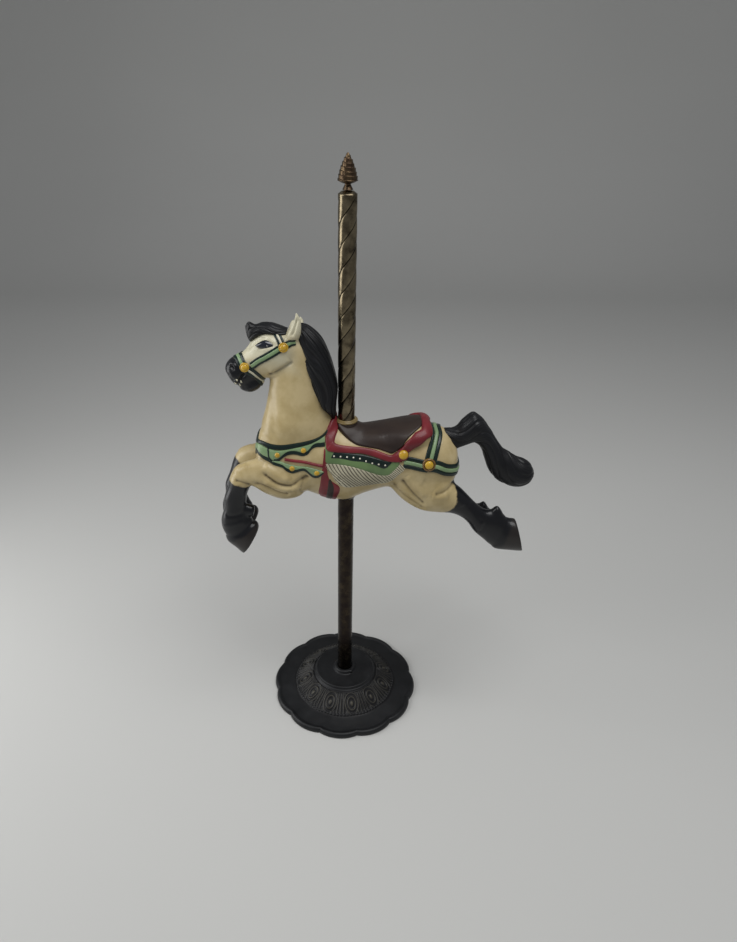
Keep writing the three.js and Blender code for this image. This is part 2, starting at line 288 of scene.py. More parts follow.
# ---- Pole ----
# A drawn brass tube with a coned top, cased in thin brass sheet that is wound with three wide spiral seams.
# It drops through the horse into the base's collar. Below the horse the twist is rubbed almost flat.
def tube(around, along):
    """A sheet rolled up about its length, with its vertices' angles and shares of the length, 0 to 1."""
    bm = bmesh.new()
    bmesh.ops.create_grid(bm, x_segments=around, y_segments=along, size=1.0)
    flat = np.array([v.co for v in bm.verts])
    return bm, math.pi * flat[:, 0], np.round((flat[:, 1] + 1) / 2 * along) / along


def closed(bm, spots):
    """Puts a rolled sheet's vertices in place, in millimetres, and welds its seam and its two ends."""
    move_to(bm, spots)
    bmesh.ops.remove_doubles(bm, verts=bm.verts, dist=1e-6)
    bmesh.ops.recalc_face_normals(bm, faces=bm.faces)
    return bm


POLE_R = 19.0
POLE_FOOT, POLE_TOP, POLE_CONE = 12.3, 1304.0, 7.0
LEAD = 146.0
STARTS = 3
SEAM_AT, SEAM_DEPTH, ROLL_DEPTH = 1257.5, 0.7, 1.1
pole_bm, angle, share = tube(84, 760)
height = POLE_FOOT + share * (POLE_TOP - POLE_FOOT)
winding = STARTS * ((height - SEAM_AT) / LEAD - angle / (2 * math.pi))
from_seam = abs(winding - np.round(winding)) * LEAD / STARTS * math.cos(math.radians(50.7))
twist = np.clip((height - 430) / 170, 0, 0.3) + 0.7 * unit((height - 780) / 30)
twist *= unit((POLE_TOP - POLE_CONE - height) / 12)
groove = SEAM_DEPTH * np.exp(-((from_seam / 1.2) ** 2)) + ROLL_DEPTH * np.exp(-from_seam / 4.5)
pole_radius = POLE_R - twist * groove
pole_radius = np.where(
    height > POLE_TOP - POLE_CONE, POLE_R - (height - POLE_TOP + POLE_CONE) / POLE_CONE * 9, pole_radius
)
pole_radius = np.minimum(pole_radius, POLE_R)
pole_radius = np.where((share == 0) | (share == 1), 0, pole_radius)
height = np.where(share == 1, POLE_TOP, height)
pole_bm = closed(pole_bm, np.stack([pole_radius * np.cos(angle), pole_radius * np.sin(angle), height], 1))


# Brass gone brown with age: a dull gold skin with tarnish blotches, painted darker towards the foot as
# shade, and near-black painted shade in the seams and hollows.
def aged_brass(name, top_colour, shaded_foot_colour, tarnish, shade_from, shade_to, roughness):
    made, add = new_material(name)
    place = add("TexCoord", {}, "Object")
    level = add("SeparateXYZ", {"Vector": place}, "Z")
    blotch = add("TexNoise", {"Vector": place, "Scale": 45.0, "Detail": 5.0, "Roughness": 0.6})
    fine = add("TexNoise", {"Vector": place, "Scale": 420.0, "Detail": 3.0})
    # painted shade: darker from the top colour to the foot colour towards the foot
    reach = {"Value": level, "From Min": shade_to, "From Max": shade_from}
    down = add("MapRange", reach, interpolation_type="SMOOTHSTEP")
    body = add("Mix", {0: down, 6: shaded_foot_colour, 7: top_colour}, 2, data_type="RGBA")
    spots_on = add("MapRange", {"Value": blotch, "From Min": 0.42, "From Max": 0.7})
    aged = add("Mix", {0: spots_on, 6: body, 7: tarnish}, 2, data_type="RGBA")
    # painted shade: near-black in the seams and other hollows
    hollows = add("Attribute", {}, "Fac", attribute_name="hollow")
    seam_shaded = add("Mix", {0: hollows, 6: aged, 7: "#0F0D0A"}, 2, data_type="RGBA")
    rough = add("MapRange", {"Value": blotch, "To Min": roughness - 0.1, "To Max": roughness + 0.16})
    bump = add("Bump", {"Height": fine, "Strength": 0.12, "Distance": 0.0003})
    finish_material(add, {"Base Color": seam_shaded, "Metallic": 1.0, "Roughness": rough, "Normal": bump})
    return made


def read(data, name, width):
    flat = np.empty(len(data) * width, dtype=np.int32 if name == "vertices" else np.float64)
    data.foreach_get(name, flat)
    return flat.reshape(-1, width)


def averaged(values, pairs, rounds, share=1.0):
    """Each vertex's values moved towards the mean of its neighbours', a few times over."""
    count = len(values)
    ends = np.concatenate([pairs[:, 0], pairs[:, 1]])
    others = np.concatenate([pairs[:, 1], pairs[:, 0]])
    weight = np.maximum(np.bincount(ends, minlength=count), 1)
    hold = np.broadcast_to(share, (count,))[:, None]
    values = values.copy()
    for _ in range(rounds):
        mean = np.stack([np.bincount(ends, values[others, k], count) / weight for k in range(3)], 1)
        values += (mean - values) * hold
    return values


def note_hollows(mesh, low, high, rounds=2):
    """Keeps how far each vertex lies below its neighbours, from 0 to 1, where the materials paint shade."""
    spots = read(mesh.vertices, "co", 3) / MM
    around = averaged(spots, read(mesh.edges, "vertices", 2), rounds)
    depth = np.einsum("ij,ij->i", around - spots, read(mesh.vertex_normals, "vector", 3))
    depth = unit((depth - low) / (high - low))
    mesh.attributes.new("hollow", "FLOAT", "POINT").data.foreach_set("value", depth.astype(np.float32))


pole_brass = aged_brass("aged_brass_tube", "#8C8068", "#2B2523", "#423A2F", 0.88, 0.7, 0.22)
pole = placed(pole_bm, "twisted_pole", pole_brass)
note_hollows(pole.data, 0.02, 0.2)
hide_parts("pole")


# ---- Finial ----
# A cast brass pine cone on a short neck that stands on the pole's top: one ridge winds up it nearly seven
# times, notched all round into scales.
CONE_FOOT, CONE_LOW, CONE_WIDE, CONE_TOP = 1304.3, 1315.5, 1321.5, 1370.0
CONE_R, CONE_NECK, CONE_TURNS = 20.4, 6.0, 6.6
cone_bm, angle, share = tube(96, 230)
height = CONE_FOOT + share * (CONE_TOP - CONE_FOOT)
neck = CONE_NECK + 4.6 * unit((CONE_LOW - 2 - height) / (CONE_LOW - 2 - CONE_FOOT))
flare = unit((height - CONE_LOW) / (CONE_WIDE - CONE_LOW)) ** 0.6
up = unit((height - CONE_WIDE) / (CONE_TOP - CONE_WIDE))
bulb = CONE_R * (1 - up**1.4) ** 0.72
turns = up * CONE_TURNS + angle / (2 * math.pi)
ridge = turns - np.floor(turns)
lip = ridge**1.6 - unit((ridge - 0.9) / 0.1) * ridge**1.6
scale_rows = abs(np.cos(4.5 * angle + math.pi * np.floor(turns) * 0.5)) ** 0.6
bulb = bulb - np.where(up > 0, (1.9 * (1 - lip) + 0.5 * (1 - scale_rows)) * unit(bulb / 7), 0)
cone_radius = neck + (np.maximum(bulb, 0.4) - neck) * flare
cone_radius = np.where((share == 0) | (share == 1), 0, np.maximum(cone_radius, 0.3))
cone_bm = closed(cone_bm, np.stack([cone_radius * np.cos(angle), cone_radius * np.sin(angle), height], 1))
cone_brass = aged_brass("aged_cast_brass", "#6C5B45", "#5A4B3A", "#3E3029", 1.34, 1.3, 0.34)
finial = placed(cone_bm, "pine_cone_finial", cone_brass)
note_hollows(finial.data, 0.02, 0.25)
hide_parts("finial")


# ---- Horse's body ----
# The horse is one hollow casting with its tack modelled on it. Its skin is drawn in side view as ribs, each
# an oval section: its two ends, its half width and, if off the middle, how far across it sits. The solids
# are fused, smoothed like worked clay and then carved.
TORSO = [
    (-199, 786, -209, 722, 24), (-186, 804, -198, 698, 46), (-142, 815, -152, 672, 60),
    (-92, 820, -96, 644, 67), (-42, 822, -48, 625, 69), (5, 806, 0, 618, 69), (60, 802, 48, 640, 68),
    (118, 804, 112, 657, 66), (172, 806, 170, 640, 69), (220, 799, 218, 640, 64), (246, 770, 246, 662, 48),
    (257, 742, 258, 694, 24),
]
NECK = [
    (10, 770, -196, 742, 50), (-24, 826, -192, 806, 56), (-28, 868, -180, 850, 49),
    (-33, 915, -171, 893, 42), (-43, 955, -165, 925, 37), (-55, 992, -146, 952, 34),
    (-80, 1018, -138, 972, 31), (-104, 1024, -130, 990, 22),
]
HEAD = [
    (-88, 1016, -94, 984, 22), (-112, 1024, -108, 962, 32), (-146, 1027, -130, 942, 37),
    (-176, 1023, -150, 926, 37), (-198, 1010, -172, 920, 31), (-212, 990, -188, 915, 26),
    (-229, 974, -200, 908, 24), (-248, 965, -214, 902, 25), (-260, 952, -230, 899, 23),
    (-264, 938, -243, 903, 13),
]
CHIN = [
    (-185, 925, -180, 912, 14), (-198, 925, -190, 896, 20), (-215, 922, -208, 887, 21),
    (-229, 912, -226, 890, 15), (-236, 903, -235, 896, 6),
]
FORELEG = [
    (-70, 735, -88, 672, 24, -14), (-82, 735, -92, 657, 29, -8), (-108, 738, -110, 642, 33, -2),
    (-148, 742, -146, 637, 33), (-188, 742, -182, 650, 29), (-224, 732, -206, 668, 26),
    (-250, 719, -214, 674, 26), (-264, 697, -220, 668, 24), (-272, 668, -228, 650, 21),
    (-283, 638, -232, 628, 20), (-285, 611, -234, 610, 20), (-295, 576, -227, 588, 22),
    (-291, 544, -221, 576, 23), (-271, 513, -220, 560, 20),
]
HINDLEG = [
    (190, 770, 100, 700, 30, -16), (222, 735, 102, 667, 36, -10), (238, 706, 132, 633, 35, -5),
    (244, 690, 173, 610, 32), (252, 678, 212, 603, 28), (268, 664, 243, 601, 25), (286, 645, 267, 592, 22),
    (306, 624, 288, 574, 20), (328, 608, 306, 548, 21), (356, 604, 330, 526, 22), (376, 592, 348, 510, 23),
    (386, 570, 368, 510, 19),
]
FORE_HOOF = [
    (-289, 534, -214, 572, 20), (-284, 517, -211, 568, 26), (-266, 500, -208, 562, 28),
    (-251, 484, -207, 555, 29.5), (-247, 484, -208, 550, 28),
]
HIND_HOOF = [
    (374, 588, 350, 508, 20), (390, 582, 360, 499, 26), (397, 581, 392, 496, 28),
    (402, 579, 425, 494, 29.5), (405, 574, 426, 499, 28),
]
FORE_TUFT = [(-246, 622, -242, 586, 12), (-220, 616, -220, 586, 12), (-212, 608, -216, 594, 6)]
HIND_TUFT = [(336, 600, 352, 580, 12), (352, 618, 372, 590, 12), (360, 616, 368, 604, 6)]
CANTLE = [
    (30, 800, 40, 770, 40), (62, 803, 66, 768, 48), (92, 808, 96, 766, 53), (124, 814, 126, 764, 57),
    (154, 819, 154, 764, 58), (178, 820, 176, 768, 54), (190, 806, 188, 776, 40),
]
LEG_SPREAD = 40


def ear(side, tip_x, tip_z):
    return [
        (-98, 1012, -130, 1008, 13, side * 19),
        (-95, 1028, -125, 1024, 13, side * 23),
        (-94, 1042, -116, 1040, 10, side * 26),
        (tip_x + 7, tip_z - 15, tip_x - 7, tip_z - 17, 6.5, side * 28),
        (tip_x + 3, tip_z - 5, tip_x - 4, tip_z - 6, 3.5, side * 29),
        (tip_x, tip_z + 1, tip_x - 3, tip_z + 1, 2.0, side * 29),
    ]


def far_hind(x, z):
    to_hock = min(max((x - 170) / 86, 0), 1)
    beyond = -0.25 if x > 256 else 0
    return x + 10 * to_hock + (x - 256) * beyond, z - 43 * to_hock + (z - 640) * beyond


def far_fore(x, z):
    folded = min(max((700 - z) / 60, 0), 1)
    return x - 4 - 6 * folded, z - 8 * folded


def sided(ribs, side, moved=None):
    moved = moved if side > 0 and moved else lambda x, z: (x, z)
    return [(*moved(a, b), *moved(c, d), w, side * (LEG_SPREAD + sum(far))) for a, b, c, d, w, *far in ribs]


def curve(points, places):
    """A smooth curve through the points, read at places from 0 to 1 along it."""
    p = np.array(points, float)
    p = np.vstack([2 * p[0] - p[1], p, 2 * p[-1] - p[-2]])
    t = np.asarray(places) * (len(points) - 1)
    i = np.clip(t.astype(int), 0, len(points) - 2)
    f = (t - i)[:, None]
    a, b, c, d = p[i], p[i + 1], p[i + 2], p[i + 3]
    return 0.5 * (2 * b + (c - a) * f + (2 * a - 5 * b + 4 * c - d) * f**2 + (3 * (b - c) - a + d) * f**3)


def loft(ribs, around, along, box=0.0, carve=None):
    """A closed limb drawn out over its ribs; carve(angle, share) gives how far its skin is pressed in."""
    bm, angle, share = tube(around, along)
    rows = curve([(*rib, 0)[:6] for rib in ribs], share)
    shrink = np.ones(len(share))
    end = 0.5 / along
    reach = np.sign(np.cos(angle)) * abs(np.cos(angle)) ** (1 - box)
    side = np.sign(np.sin(angle)) * abs(np.sin(angle)) ** (1 - box)
    middle = (rows[:, 0:2] + rows[:, 2:4]) / 2
    half = (rows[:, 0:2] - rows[:, 2:4]) / 2
    size = np.maximum((np.hypot(half[:, 0], half[:, 1]) + rows[:, 4]) / 2, 1e-3)
    if carve is not None:
        shrink = 1 - carve(angle, share) / size
    shrink = np.where((share < end) | (share > 1 - end), 0, shrink)
    xz = middle + half * (reach * shrink)[:, None]
    return closed(bm, np.stack([xz[:, 0], rows[:, 5] + side * rows[:, 4] * shrink, xz[:, 1]], 1))


def joined(parts):
    whole = bmesh.new()
    for part in parts:
        scrap = bpy.data.meshes.new("scrap")
        part.to_mesh(scrap)
        part.free()
        whole.from_mesh(scrap)
        bpy.data.meshes.remove(scrap)
    return whole


flesh = [loft(TORSO, 64, 80), loft(NECK, 48, 60), loft(HEAD, 48, 60), loft(CHIN, 32, 24)]
flesh += [loft(sided(FORE_TUFT, -1), 20, 12)]
flesh += [loft(CANTLE, 48, 40), loft(ear(-1, -102, 1072), 20, 24), loft(ear(1, -98, 1047), 20, 24)]
for side in (-1, 1):
    flesh += [loft(sided(FORELEG, side, far_fore), 40, 80), loft(sided(HINDLEG, side, far_hind), 40, 80)]
    flesh += [loft(sided(HIND_TUFT, side, far_hind), 20, 12)]
    flesh += [loft(sided(FORE_HOOF, side, far_fore), 40, 32), loft(sided(HIND_HOOF, side, far_hind), 40, 32)]
rough_bm = joined(flesh)
rough_mesh = bpy.data.meshes.new("rough_body")
rough_bm.to_mesh(rough_mesh)
rough_bm.free()
rough_body = shown("rough_body", rough_mesh)
VOXEL = 1.9
fuse = rough_body.modifiers.new("fuse", "REMESH")
fuse.mode = "VOXEL"
fuse.voxel_size = VOXEL * MM


def applied(made):
    """The object's mesh with its modifier applied, once the object itself is gone."""
    mesh = bpy.data.meshes.new_from_object(made.evaluated_get(bpy.context.evaluated_depsgraph_get()))
    bpy.data.objects.remove(made)
    return mesh


skin = applied(rough_body)
body_spots = read(skin.vertices, "co", 3) / MM
pairs = read(skin.edges, "vertices", 2)


def eased(value, low, high):
    t = unit((value - low) / (high - low))
    return t * t * (3 - 2 * t)


# The clay is smoothed most where limbs join the barrel, and least at ears, muzzle and fetlocks.
x, y, z = body_spots.T
keep = eased(z, 1012, 1026) * eased(-x, 76, 90) * 0.92
keep = np.maximum(keep, eased(-x - 0.4 * (z - 900), 190, 215) * 0.7)
hoofs = np.maximum(eased(x, 372, 384), eased(-z, -560, -540) * (x < 0))
keep = np.maximum(keep, hoofs * 0.85)
rounds = 26
body_spots = averaged(body_spots, pairs, rounds, 0.6 * (1 - keep))
x, y, z = body_spots.T
LIMB_ROOTS = [(-120, 770, 60, 60, 1), (-80, 690, 50, 45, 1), (120, 690, 55, 50, 1), (70, 785, 50, 40, 1.5)]
JOWL = (-140, 955, 22, 18, 1)
joint = 0
for at_x, at_z, wide, high, much in [*LIMB_ROOTS, JOWL]:
    joint = joint + much * np.exp(-(((x - at_x) / wide) ** 2) - ((z - at_z) / high) ** 2)
body_spots = averaged(body_spots, pairs, rounds * 3, 0.6 * unit(joint))


def distance(path, spots):
    """How far each point lies from a side-view path, and its share of the way along it."""
    best = np.full(len(spots), 1e9)
    along = np.zeros(len(spots))
    for i, (a, b) in enumerate(zip(path, path[1:])):
        run = b - a
        t = unit(((spots - a) @ run) / (run @ run))
        gap = np.hypot(*(spots - a - t[:, None] * run).T)
        nearer = gap < best
        best = np.where(nearer, gap, best)
        along = np.where(nearer, (i + t) / (len(path) - 1), along)
    return best, along


FADE, SIDE_ON = 0.12, 0.12


def stroke(spots, normals, path, width, depth, sides):
    """A carver's cut (or a raised roll, if the depth is negative) along a side-view path."""
    path = curve(path, np.linspace(0, 1, 4 * len(path)))
    low, high = path.min(0) - 3 * width, path.max(0) + 3 * width
    xz = spots[:, [0, 2]]
    near = np.all((xz > low) & (xz < high), 1) & (normals[:, 1] * np.sign(spots[:, 1]) > SIDE_ON)
    near &= np.isin(np.sign(spots[:, 1]), sides)
    index = np.nonzero(near)[0]
    gap, along = distance(path, xz[index])
    taper = unit(along / FADE) * unit((1 - along) / FADE)
    press = depth * np.exp(-((gap / width) ** 2)) * taper
    spots[index] -= normals[index] * press[:, None]


skin.vertices.foreach_set("co", (body_spots * MM).ravel())
skin.update()
normals = read(skin.vertex_normals, "vector", 3)
NEAR, FAR = -1, 1
CUTS = [
    # shoulder, breast and forearm muscles: a deep line and a full roll beside it
    ([(-192, 720), (-173, 706), (-153, 692), (-125, 687), (-107, 697), (-85, 713)], 6.0, 4.4),
    ([(-186, 733), (-166, 721), (-146, 708), (-124, 703)], 8, -3.0),
    ([(-214, 690), (-187, 685), (-163, 672), (-143, 664), (-126, 664)], 6.0, 4.0),
    ([(-186, 696), (-164, 688), (-144, 679), (-124, 676)], 6.5, -2.4),
    ([(-82, 712), (-95, 699), (-102, 671), (-98, 652)], 6.5, 3.6),
    ([(-124, 672), (-114, 682), (-108, 672)], 7, -2.0),
    ([(-252, 695), (-236, 692), (-215, 681)], 5, 3.0),
    ([(-258, 716), (-240, 722), (-222, 728)], 9, -1.6),
    # flank fold, stifle and gaskin
    ([(124, 703), (136, 686), (150, 669), (166, 652), (184, 634)], 6, 4.0),
    ([(136, 712), (150, 694), (166, 676), (184, 658)], 9, -2.4),
    ([(106, 690), (118, 668), (142, 649), (164, 634), (184, 619)], 5.5, 3.0),
    ([(200, 666), (214, 668), (230, 675), (250, 689)], 6, 3.4, NEAR),
    ([(196, 664), (214, 660), (234, 662)], 10, -2.2, NEAR),
    ([(250, 668), (262, 648), (270, 628)], 6, -1.4, NEAR),
    ([(286, 634), (304, 606), (322, 582)], 6, 1.4, NEAR),
    # fetlocks and pasterns
    ([(-282, 596), (-262, 598), (-240, 602)], 5, 1.4),
    ([(-292, 566), (-268, 572), (-238, 582)], 6, -1.2),
    ([(332, 596), (326, 574), (318, 552)], 5, 1.6, NEAR),
    # ribs of the neck, the windpipe and the jowl
    ([(-170, 890), (-162, 862), (-160, 826), (-166, 796)], 10, 1.6),
    ([(-170, 932), (-156, 940), (-142, 949), (-127, 959), (-112, 970)], 4.0, 3.6),
    ([(-166, 944), (-150, 953), (-135, 963), (-120, 975)], 9, -2.6),
    # brow, cheekbone, nose and lips
    ([(-150, 1004), (-158, 1014), (-172, 1018), (-186, 1010), (-194, 998)], 4.5, -2.2),
    ([(-154, 1001), (-168, 996), (-182, 994), (-192, 996)], 3.5, -1.3),
    ([(-151, 1003), (-162, 1004), (-174, 1004), (-188, 999)], 6.5, 3.4),
    ([(-213, 985), (-203, 996), (-192, 1007), (-180, 1015), (-166, 1017)], 3.0, 3.0),
    ([(-222, 962), (-206, 968), (-188, 974), (-168, 984)], 9, -1.4),
    ([(-252, 952), (-246, 957), (-239, 954), (-240, 947)], 3.4, -2.4),
    ([(-249, 951), (-244, 950), (-243, 944)], 2.8, 4.6),
    ([(-240, 894), (-236, 906), (-231, 919), (-224, 931), (-215, 938)], 3.0, 6.0),
    ([(-256, 936), (-249, 926), (-241, 920)], 3.0, 2.2),
    ([(-206, 912), (-214, 904), (-226, 900)], 4.0, 1.2),
    ([(-196, 930), (-190, 918), (-184, 910)], 5.0, 1.4),
    # the cupped insides of the ears, which turn outwards and forwards
    ([(-101, 1062), (-106, 1048), (-110, 1034), (-115, 1024)], 3.2, 5.0, NEAR),
    ([(-100, 1040), (-106, 1034), (-110, 1028), (-115, 1022)], 3.2, 4.0, FAR),
    # the rail of the buttock and the root of the tail
    ([(236, 790), (246, 776), (250, 756), (248, 736)], 7, -1.2),
    ([(170, 700), (190, 690), (206, 676)], 14, 1.0),
]
for path, width, depth, *side in CUTS:
    stroke(body_spots, normals, path, max(width, 0.8 * VOXEL), depth, side or [NEAR, FAR])
body_spots = averaged(body_spots, pairs, 1, 0.35)

# Signed distances, in millimetres, to the edges of the black enamel on legs and muzzle: above 0 is black.
x, y, z = body_spots.T
knee = np.where(x < -195, ((-263 - x) * 11 + (686 - z) * 43) / math.hypot(11, 43), -50)
far_knee = np.where(x < -195, ((-266 - x) * 14 + (708 - z) * 23) / math.hypot(14, 23), -50)
knee = np.where((z > 760) | ((x > -216) & (z > 640)), -50, np.where(y < 0, knee, far_knee))
leg_x, leg_z = np.where(y < 0, x, x - 10), np.where(y < 0, z, z + 43)
hock = np.minimum(np.hypot(leg_x - 211, leg_z - 652) - 45, leg_x - 226 - 0.5 * np.clip(leg_z - 660, 0, 40))
hock = np.where((leg_x > 222) & (leg_z < 690 - 0.3 * (leg_x - 240)), hock, -50)
muzzle = np.where((x < -184) & (z < 1000) & (z > 880), (728 - x - z) / math.sqrt(2), -50)
black_by = np.maximum(np.maximum(knee, hock), muzzle)
horn_fore = ((-270 - x) * -50 - (z - 530) * 70) / 86 - 6
horn_hind = np.where(y < 0, (x - 375) - 0.28 * (z - 540), (x - 355) - 0.28 * (z - 500)) - 6
horn_by = np.where(z > 620, -50, np.where(x < 0, horn_fore, horn_hind))
skin.vertices.foreach_set("co", (body_spots * MM).ravel())
skin.update()
# Paler paint on the face, and a painted highlight on the head's top and ears above 1012 mm.
pale_face_and_highlight_by = np.maximum(np.minimum(z - 958, -118 - x), np.where(x < -80, z - 1012, -60))
for attribute, values in (("black_by", black_by), ("horn_by", horn_by), ("pale_face_and_highlight_by", pale_face_and_highlight_by)):
    skin.attributes.new(attribute, "FLOAT", "POINT").data.foreach_set("value", values.astype(np.float32))
note_hollows(skin, 0.05, 0.9, rounds=6)

# The pole's bore: a round hole cut down through the skin of the back and the belly.
BORE = 20.2
body_bm = bmesh.new()
body_bm.from_mesh(skin)
bpy.data.meshes.remove(skin)
skin_tree = BVHTree.FromBMesh(body_bm)
gone = [v for v in body_bm.verts if math.hypot(v.co.x, v.co.y) < BORE * MM and v.co.z < 0.86]
bmesh.ops.delete(body_bm, geom=gone, context="VERTS")
rim = [e for e in body_bm.edges if e.is_boundary]
for v in {v for e in rim for v in e.verts}:
    fit = BORE * MM / math.hypot(v.co.x, v.co.y)
    v.co.x *= fit
    v.co.y *= fit
bmesh.ops.bridge_loops(body_bm, edges=rim)
bmesh.ops.recalc_face_normals(body_bm, faces=body_bm.faces)


# Enamel brushed and sprayed over the casting: soft mottling a few centimetres across, brush drag of about
# a millimetre and a clear varnish, with painted shade in a darker colour in the hollows.
def enamel(name, light, mid, hollow_shade, roughness=0.3, drag=700.0, varnish=0.2, over=()):
    made, add = new_material(name)
    place = add("TexCoord", {}, "Object")
    cloud = add("TexNoise", {"Vector": place, "Scale": 26.0, "Detail": 5.0, "Roughness": 0.55})
    brush = add("TexNoise", {"Vector": place, "Scale": drag, "Detail": 2.0})
    colour = add("ValToRGB", {"Fac": cloud}, ramp=[(0.36, mid), (0.62, light)])
    # painted shade: the hollows darkened towards the shade colour
    hollows = add("Attribute", {}, "Fac", attribute_name="hollow")
    hollow_shade_share = add("Math", {0: hollows, 1: 0.85}, operation="MULTIPLY")
    colour = add("Mix", {0: hollow_shade_share, 6: colour, 7: hollow_shade}, 2, data_type="RGBA")
    for attribute, over_colour, soft in over:
        # sprayed up to a soft edge that wanders by 6 mm either way
        edge = add("Attribute", {}, "Fac", attribute_name=attribute)
        wander = add("TexNoise", {"Vector": place, "Scale": 60.0, "Detail": 3.0})
        moved = add("Math", {0: wander, 1: 12.0, 2: edge}, operation="MULTIPLY_ADD")
        reach = {"Value": moved, "From Min": 6.0 - soft, "From Max": 6.0 + soft}
        share = add("MapRange", reach, interpolation_type="SMOOTHSTEP")
        colour = add("Mix", {0: share, 6: colour, 7: over_colour}, 2, data_type="RGBA")
    rough = add("MapRange", {"Value": cloud, "To Min": roughness - 0.06, "To Max": roughness + 0.1})
    bump = add("Bump", {"Height": brush, "Strength": 0.1, "Distance": 0.0004})
    surface = {"Base Color": colour, "Roughness": rough, "Normal": bump, "Specular IOR Level": 0.32}
    finish_material(add, {**surface, "Coat Weight": varnish, "Coat Roughness": 0.14})
    return made


# The first sprayed colour is the face's paler paint and a painted highlight on the head's top and ears.
SPRAYED = [("pale_face_and_highlight_by", "#CBC6AC", 34.0), ("black_by", "#0E0F13", 2.5), ("horn_by", "#25211F", 5.0)]
coat = enamel("cream_enamel", "#C2B085", "#B09D70", "#3F3220", over=SPRAYED)
BODY_TRIANGLES = 190000
body_full = placed(body_bm, "body_full", coat)
thinning = body_full.modifiers.new("thinning", "DECIMATE")
thinning.ratio = min(1.0, BODY_TRIANGLES / (2 * len(body_full.data.polygons)))
body = shown("horse_body", applied(body_full))
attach(body, "root")
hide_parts("horse")


# ---- Mane, forelock and tail ----
# Modelled on the casting as heavy wavy locks with finer strands cut into them, in black enamel.
def on_horse(bm, name, material, low=0.02, high=0.5, rounds=3):
    made = placed(bm, name, material)
    # the hollows found here take painted shade in the enamel
    note_hollows(made.data, low, high, rounds)
    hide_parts("horse")
    return made


def locks(count, depth, strands, strand_depth, sway, turns=2.5):
    """How deep the hair is cut: valleys between locks that sway along their length, then fine strands."""

    def carve(angle, share):
        sweep = angle + sway * np.sin(turns * math.pi * share) + 0.8 * sway * share
        valley = (1 - abs(np.sin(count * sweep / 2 + 0.6 * np.sin(5 * share)))) ** 2
        fine = 0.5 + 0.5 * np.cos(strands * sweep + 3 * np.sin(7 * share))
        return depth * valley + strand_depth * fine * (1 - valley) - 0.5 * depth

    return carve


MANE = [
    (-98, 1040, -112, 1016, 20), (-80, 1033, -104, 1002, 28), (-57, 1012, -98, 984, 34),
    (-41, 982, -94, 962, 38), (-29, 944, -88, 934, 42), (-20, 903, -74, 896, 44), (-22, 870, -60, 866, 44),
    (-23, 848, -42, 848, 36), (-24, 832, -34, 834, 24),
]
FORELOCK = [
    (-124, 1030, -130, 1012, 16), (-142, 1036, -146, 1018, 20), (-160, 1042, -164, 1018, 20),
    (-178, 1042, -182, 1016, 18), (-193, 1038, -196, 1008, 16), (-206, 1043, -204, 1002, 12),
    (-214, 1034, -210, 1010, 5),
]
TAIL = [
    (222, 798, 238, 745, 20), (248, 802, 257, 753, 23), (263, 821, 276, 762, 26), (284, 838, 291, 767, 28),
    (304, 827, 302, 762, 28), (325, 801, 312, 748, 26), (343, 772, 319, 728, 25), (361, 749, 332, 698, 26),
    (378, 738, 350, 674, 29), (396, 726, 376, 658, 31), (414, 720, 404, 652, 30), (430, 708, 426, 660, 25),
    (439, 692, 438, 676, 10),
]
jet = enamel("black_enamel", "#101115", "#0C0D10", "#040405", roughness=0.42, drag=500.0, varnish=0.08)
on_horse(loft(MANE, 200, 260, box=0.3, carve=locks(11, 2.6, 44, 0.7, 0.35)), "mane", jet, 0.01, 0.3)
on_horse(loft(FORELOCK, 120, 160, carve=locks(7, 2.0, 30, 0.5, 0.5)), "forelock", jet, 0.01, 0.3)
on_horse(loft(TAIL, 180, 420, carve=locks(7, 2.4, 36, 0.5, 0.9, 3.0)), "tail", jet, 0.01, 0.3)


# ---- Saddle blanket and fringe ----
# Modelled on the casting: a green blanket with a dark-green strip of white dots under the saddle's red
# edge, and a deep carved fringe hanging below it, brushed greyish white with painted shade in its grooves.
def onto(point, side):
    """A side-view point (x, z), or a whole point (x, y, z), put on the skin on one side."""
    if len(point) == 2:
        start = Vector((point[0], side * 200, point[1])) * MM
        hit = skin_tree.ray_cast(start, Vector((0, -side, 0)))[0]
        if hit:
            return np.array(hit) / MM
        point = (point[0], 0, point[1])
    x, y, z = point
    return np.array(skin_tree.find_nearest(Vector((x, side * abs(y), z)) * MM)[0]) / MM


def evened(points, count):
    """A smooth curve through the points, read at even steps along its own length."""
    fine = curve(points, np.linspace(0, 1, 12 * len(points)))
    run = np.concatenate([[0], np.cumsum(np.linalg.norm(np.diff(fine, axis=0), axis=1))])
    steps = np.linspace(0, run[-1], count)
    return np.stack([np.interp(steps, run, fine[:, k]) for k in range(3)], 1)


def spread(values, rounds):
    for _ in range(rounds):
        far = np.pad(values, ((1, 1), (1, 1), (0, 0)), mode="edge")
        values = (values * 2 + far[:-2, 1:-1] + far[2:, 1:-1] + far[1:-1, :-2] + far[1:-1, 2:]) / 6
    return values


def crowned(u, along, spots):
    """A strap's section: rolled edges that run down to the skin and a slightly domed face."""
    rim = 1 - abs(2 * u - 1) ** 6
    return 0.86 * np.sqrt(unit(rim)) + 0.14 * (1 - (2 * u - 1) ** 2)


MIDDLE, SUNK = 1.5, -1.2  # how near the mid-plane counts as on it; how far a strip's edge dips into the skin


